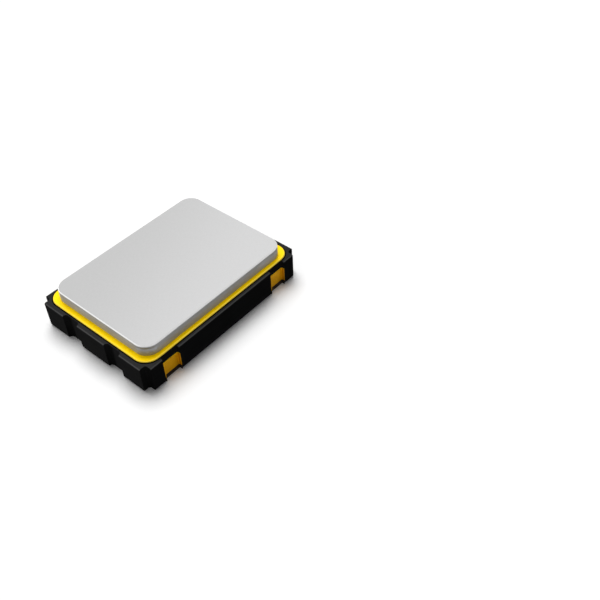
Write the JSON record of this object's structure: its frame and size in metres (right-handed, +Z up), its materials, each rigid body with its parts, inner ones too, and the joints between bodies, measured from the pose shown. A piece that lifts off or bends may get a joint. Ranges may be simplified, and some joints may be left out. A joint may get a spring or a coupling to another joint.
{
  "type": "crystal oscillator",
  "caption": "Clock oscillator in a black ceramic surface-mount package: a quartz blank and its chip under a flat seam-sealed metal lid, with gold pads below.",
  "frame": {"origin": "on the circuit board, under the middle of the package: the four solder pads stand on z = 0", "axes": "+X along the package towards terminals 2 and 3, +Y across it towards terminals 3 and 4, +Z up through the lid"},
  "size_m": [0.007, 0.005, 0.0014],
  "materials": {
    "ceramic": "black alumina, fired matt",
    "frame_gold": "bright gold plating",
    "terminal_gold": "satin gold plating",
    "ring_metal": "nickel plating, satin",
    "lid_metal": "nickel plating, fine satin",
    "quartz": "lapped and polished",
    "electrode_gold": "evaporated film, mirror",
    "silver_adhesive": "silver-filled adhesive",
    "inner_gold": "satin gold plating",
    "attach_epoxy": "silver-filled adhesive",
    "silicon": "passivated silicon",
    "pad_aluminium": "bright film",
    "wire_gold": "drawn gold wire"
  },
  "bodies": {
    "root": {"ceramic_base": "ceramic", "seal_frame": "frame_gold", "seal_ring": "ring_metal", "lid": "lid_metal", "quartz_blank": "quartz", "electrode_top": "electrode_gold", "electrode_bottom": "electrode_gold", "chip_attach": "attach_epoxy", "oscillator_chip": "silicon", "chip_pads": "pad_aluminium", "terminal_1": "terminal_gold", "terminal_2": "terminal_gold", "terminal_3": "terminal_gold", "terminal_4": "terminal_gold", "crystal_pad_1": "inner_gold", "adhesive_dot_1": "silver_adhesive", "crystal_pad_2": "inner_gold", "adhesive_dot_2": "silver_adhesive", "bond_finger_1": "inner_gold", "bond_wire_1": "wire_gold", "bond_finger_2": "inner_gold", "bond_wire_2": "wire_gold", "bond_finger_3": "inner_gold", "bond_wire_3": "wire_gold", "bond_finger_4": "inner_gold", "bond_wire_4": "wire_gold", "bond_finger_5": "inner_gold", "bond_wire_5": "wire_gold", "bond_finger_6": "inner_gold", "bond_wire_6": "wire_gold"}
  },
  "joints": []
}
